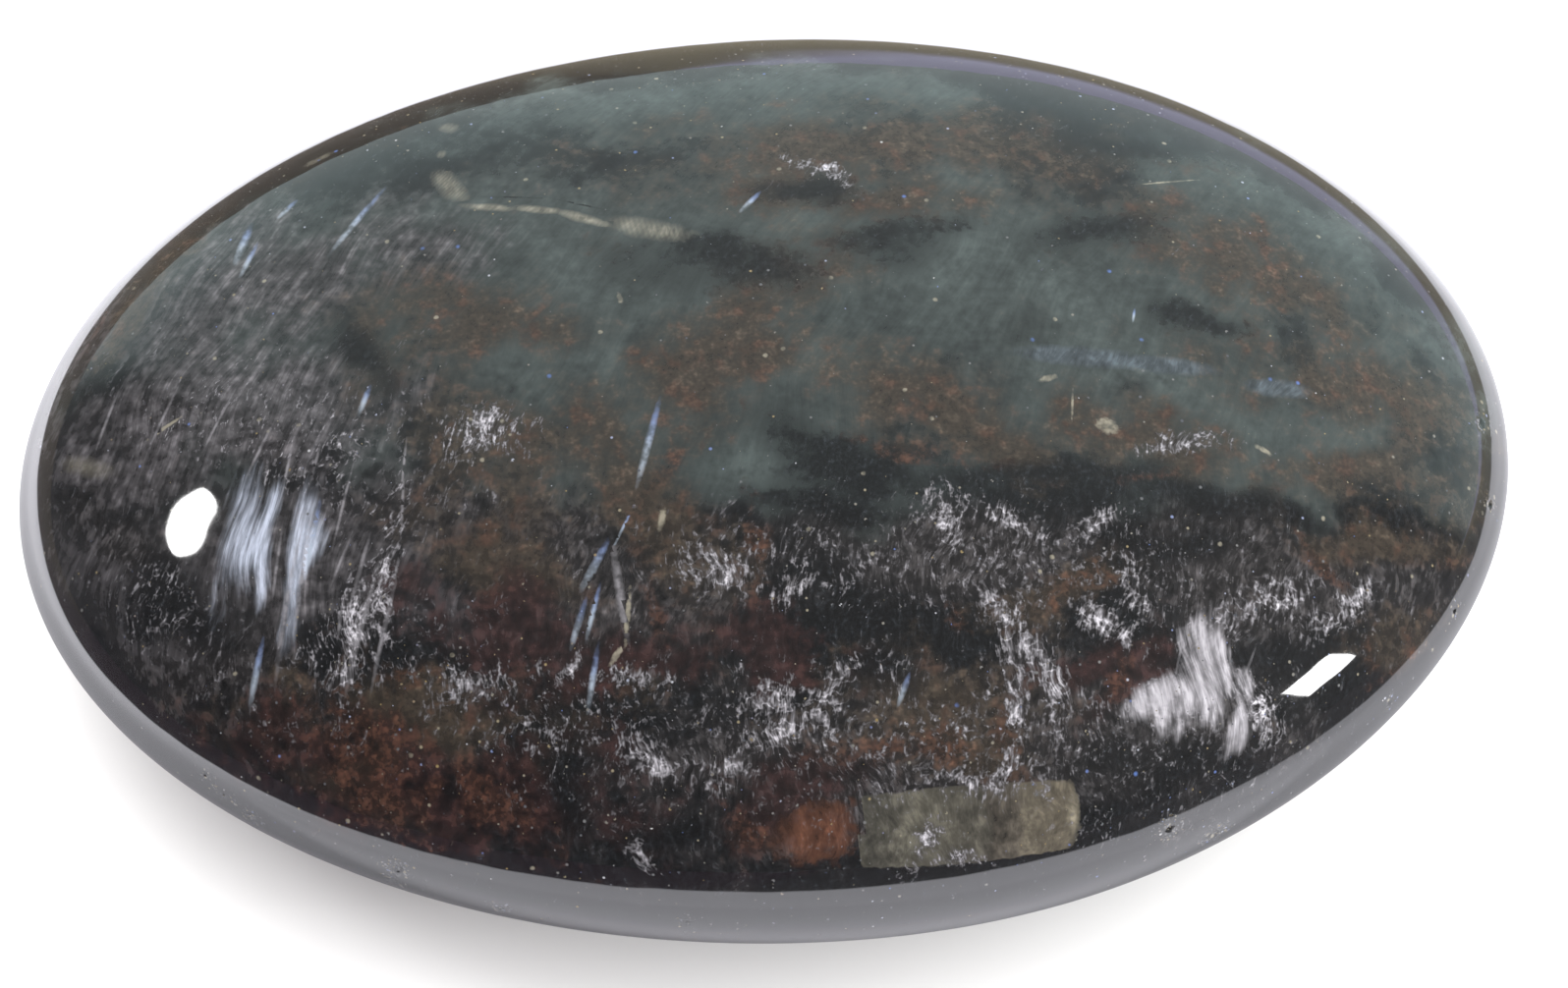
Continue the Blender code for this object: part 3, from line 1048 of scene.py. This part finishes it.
# The paper, and what the polish mirrors of it and of the table past it. Changes begin and end so many metres
# right of or behind the stone's middle
FLOOR_SIZE = 4.0
PAPER_WHITE = (0.85, 0.85, 0.85, 1.0)
MIRRORED_SHEET = (0.78, 0.78, 0.84)
SHEET_EDGE = (0.96, 1.04)
END_MOVES_OUT = (-0.01, 0.02)
SIDE_MOVES_IN = (-0.01, 0.01)
TABLE_TURNS_RIGHT = (-0.02, 0.0)
TABLE_TURNS_REAR = (-0.02, 0.05)
TABLE_FRONT = ((0.045, 0.03, 0.04, 1.0), (0.045, 0.042, 0.045, 1.0))  # left and right
TABLE_REAR = ((0.085, 0.07, 0.055, 1.0), (0.17, 0.15, 0.105, 1.0))  # left and right
TABLE_FAR = (0.40, 0.40, 0.54, 1.0)
FAR_REAR = (0.07, 0.11)
FAR_RIGHT = (0.0, 0.03)
# Painted shade and light on the sheet as the polish mirrors it: darker near the stone and at the right,
# lighter at the left
STONE_SHADE = (1.05, 1.75, 0.4, 1.1)  # in half sizes of the stone, and the sheet's brightness there
SHADE_LEAVES_FRONT = (-0.015, -0.025)
LEFT_PAINTED_LIGHT = (-0.040, -0.065, 1.0, 1.5)
RIGHT_PAINTED_SHADE = (0.036, 0.05, 1.0, 0.8)

# The room, and what the polish mirrors of it
WALL = (  # by the rise of the mirrored ray
    (0.0, (0.86, 1.0, 1.0)),
    (0.2, (0.70, 0.88, 0.89)),
    (0.36, (0.48, 0.60, 0.61)),
    (0.48, (0.38, 0.45, 0.46)),
    (0.64, (0.27, 0.32, 0.33)),
    (0.87, (0.19, 0.22, 0.23)),
    (0.95, (0.12, 0.14, 0.15)),
    (1.0, (0.11, 0.13, 0.14)),
)
WALL_LEAN = -0.16  # how much nearer the wall's lower edge is than its upper
WALL_EDGE = (0.06, 0.16)
WALL_LEFT_END = (-0.08, 0.12)
DARK_ROOM = (0.07, 0.07, 0.075, 1.0)
SOFT_LIGHT = (3.75, 3.75, 3.7, 1.0)
DIM_LIGHT = (0.14, 0.07, 0.12, 1.0)
DIM_SIDE = (-0.90, -0.44, 0.0)  # toward the room's dim side
DIM_EDGE = (0.05, 0.60)
BACKDROP = (1.0, 1.0, 1.0, 1.0)

# Lamps: name, shape, pixel of the photograph where the polish mirrors each, distance, size, roll and radiance
LAMPS = (
    ("left_lamp", "ELLIPSE", (190, 538), 0.5, (0.112, 0.056), math.radians(-25.0), 22.0),
    ("right_lamp", "RECTANGLE", (1338, 690), 0.5, (0.078, 0.080), math.radians(0.0), 22.0),
)
NEAREST_SEEN = 0.01  # from the camera


def paper_material(settings):
    """White paper. In the polish it ends at the sheet's edge, with a dark table past it, and has painted
    shade and light.
    """
    material = bpy.data.materials.new("white_paper")
    material.use_nodes = True
    nodes = Nodes(material.node_tree)
    shader = material.node_tree.nodes["Principled BSDF"]
    shader.inputs["Roughness"].default_value = 0.9
    shader.inputs["Specular IOR Level"].default_value = 0.0
    right, rear, _ = nodes.split(nodes.add("ShaderNodeTexCoord").outputs["Object"])
    near_end, far_end = HALF_LENGTH + settings.sheet_reach, HALF_LENGTH + settings.side_reach
    near_side, far_side = HALF_WIDTH + settings.sheet_reach, HALF_WIDTH + settings.rear_reach
    end = nodes.span(rear, *END_MOVES_OUT, near_end, far_end)
    side = nodes.span(rear, *SIDE_MOVES_IN, near_side, far_side)
    out = nodes.reach(nodes.math("DIVIDE", right, end), nodes.math("DIVIDE", rear, side))
    past = nodes.span(out, *SHEET_EDGE)
    turn = nodes.span(right, *TABLE_TURNS_RIGHT)
    front, back = nodes.mix(turn, *TABLE_FRONT), nodes.mix(turn, *TABLE_REAR)
    table = nodes.mix(nodes.span(rear, *TABLE_TURNS_REAR), front, back)
    far = nodes.product(nodes.span(rear, *FAR_REAR), nodes.span(right, *FAR_RIGHT))
    table = nodes.mix(far, table, TABLE_FAR)
    out = nodes.reach(nodes.math("DIVIDE", right, HALF_LENGTH), nodes.math("DIVIDE", rear, HALF_WIDTH))
    # painted shade near the stone, painted light at the left and painted shade at the right, on the mirrored
    # sheet
    shade = nodes.span(out, *STONE_SHADE, smooth=False)
    shade = nodes.math("MAXIMUM", shade, nodes.span(rear, *SHADE_LEAVES_FRONT))
    shade = nodes.product(shade, nodes.span(right, *LEFT_PAINTED_LIGHT), nodes.span(right, *RIGHT_PAINTED_SHADE))
    sheet = nodes.mix(past, nodes.vector("SCALE", MIRRORED_SHEET, shade), table)
    mirrored = nodes.add("ShaderNodeLightPath").outputs["Is Glossy Ray"]
    nodes.set(shader.inputs["Base Color"], nodes.mix(mirrored, PAPER_WHITE, sheet))
    return material


def room_world():
    """Soft room: white behind the paper; in the polish, a teal-grey wall to the rear and dark elsewhere."""
    world = bpy.data.worlds.new("soft_room")
    bpy.context.scene.world = world
    world.use_nodes = True
    nodes = Nodes(world.node_tree)
    background = world.node_tree.nodes["Background"]
    direction = nodes.add("ShaderNodeTexCoord").outputs["Generated"]
    right, rear, rise = nodes.split(direction)
    wall_edge = nodes.span(nodes.math("MULTIPLY_ADD", rise, WALL_LEAN, rear), *WALL_EDGE)
    lit = nodes.product(wall_edge, nodes.span(nodes.math("ADD", right, rear), *WALL_LEFT_END))
    room = nodes.mix(lit, DARK_ROOM, nodes.ramp(rise, WALL))
    dim = nodes.span(nodes.vector("DOT_PRODUCT", direction, DIM_SIDE), *DIM_EDGE)
    path = nodes.add("ShaderNodeLightPath")
    seen = nodes.mix(path.outputs["Is Glossy Ray"], nodes.mix(dim, SOFT_LIGHT, DIM_LIGHT), room)
    nodes.set(background.inputs["Color"], nodes.mix(path.outputs["Is Camera Ray"], seen, BACKDROP))


def add_lamp(name, shape, pixel, distance, size, roll, radiance, cast):
    """An oval or oblong lamp, placed so that the polish mirrors it at a pixel."""
    place, normal = cast.hit(pixel)
    _, direction = photo_ray(cast.pose, cast.settings, pixel)
    away = direction.reflect(normal)
    data = bpy.data.lights.new(name, "AREA")
    data.shape = shape
    data.size, data.size_y = size
    area = size[0] * size[1] * (math.pi / 4 if shape == "ELLIPSE" else 1.0)
    data.energy = radiance * area * math.pi
    lamp = link(bpy.data.objects.new(name, data))
    facing = (-away).to_track_quat("-Z", "Y").to_matrix().to_4x4()
    spot = Matrix.Translation(place * MM + away * distance)
    lamp.matrix_world = spot @ facing @ Matrix.Rotation(roll, 4, "Z")


class PALM_OT_stage(bpy.types.Operator):
    """Makes the paper, the room, the lamps and the camera"""

    bl_idname = "palm_stone.make_stage"
    bl_label = "Make the stage"

    def execute(self, context):
        settings = context.scene.palm_stage
        floor = bmesh.new()
        bmesh.ops.create_grid(floor, x_segments=1, y_segments=1, size=FLOOR_SIZE / 2)
        data = bpy.data.meshes.new("paper")
        floor.to_mesh(data)
        floor.free()
        data.materials.append(paper_material(settings))
        link(bpy.data.objects.new("paper", data))
        room_world()
        stone = bpy.data.objects[STONE_PIECE]
        cast = PhotoCast(BVHTree.FromObject(stone, context.evaluated_depsgraph_get()), settings)
        for lamp in LAMPS:
            add_lamp(*lamp, cast)
        view = bpy.data.cameras.new("camera")
        view.sensor_width = SENSOR_WIDTH_MM
        view.lens = settings.lens
        view.clip_start = NEAREST_SEEN
        camera = link(bpy.data.objects.new("camera", view))
        camera.matrix_world = cast.pose
        context.scene.camera = camera
        context.scene.view_settings.view_transform = "Standard"
        return {"FINISHED"}


class PALM_PT_panel(bpy.types.Panel):
    """Lists the stone's and the stage's settings"""

    bl_idname = "PALM_PT_panel"
    bl_label = "Palm Stone"
    bl_space_type = "VIEW_3D"
    bl_region_type = "UI"
    bl_category = "Palm Stone"

    def draw(self, context):
        for group in (context.scene.palm_stone, context.scene.palm_stage):
            column = self.layout.column()
            for name in group.__annotations__:
                column.prop(group, name)
        self.layout.operator(PALM_OT_stone.bl_idname)
        self.layout.operator(PALM_OT_stage.bl_idname)


CLASSES = (PalmStoneSettings, PalmStageSettings, PALM_OT_stone, PALM_OT_stage, PALM_PT_panel)


def register():
    for item in CLASSES:
        bpy.utils.register_class(item)
    bpy.types.Scene.palm_stone = PointerProperty(type=PalmStoneSettings)
    bpy.types.Scene.palm_stage = PointerProperty(type=PalmStageSettings)


def unregister():
    del bpy.types.Scene.palm_stage
    del bpy.types.Scene.palm_stone
    for item in reversed(CLASSES):
        bpy.utils.unregister_class(item)


def main():
    """Makes the stone and its stage."""
    register()
    bpy.ops.palm_stone.make_stone()
    bpy.ops.palm_stone.make_stage()


if __name__ == "__main__":
    main()
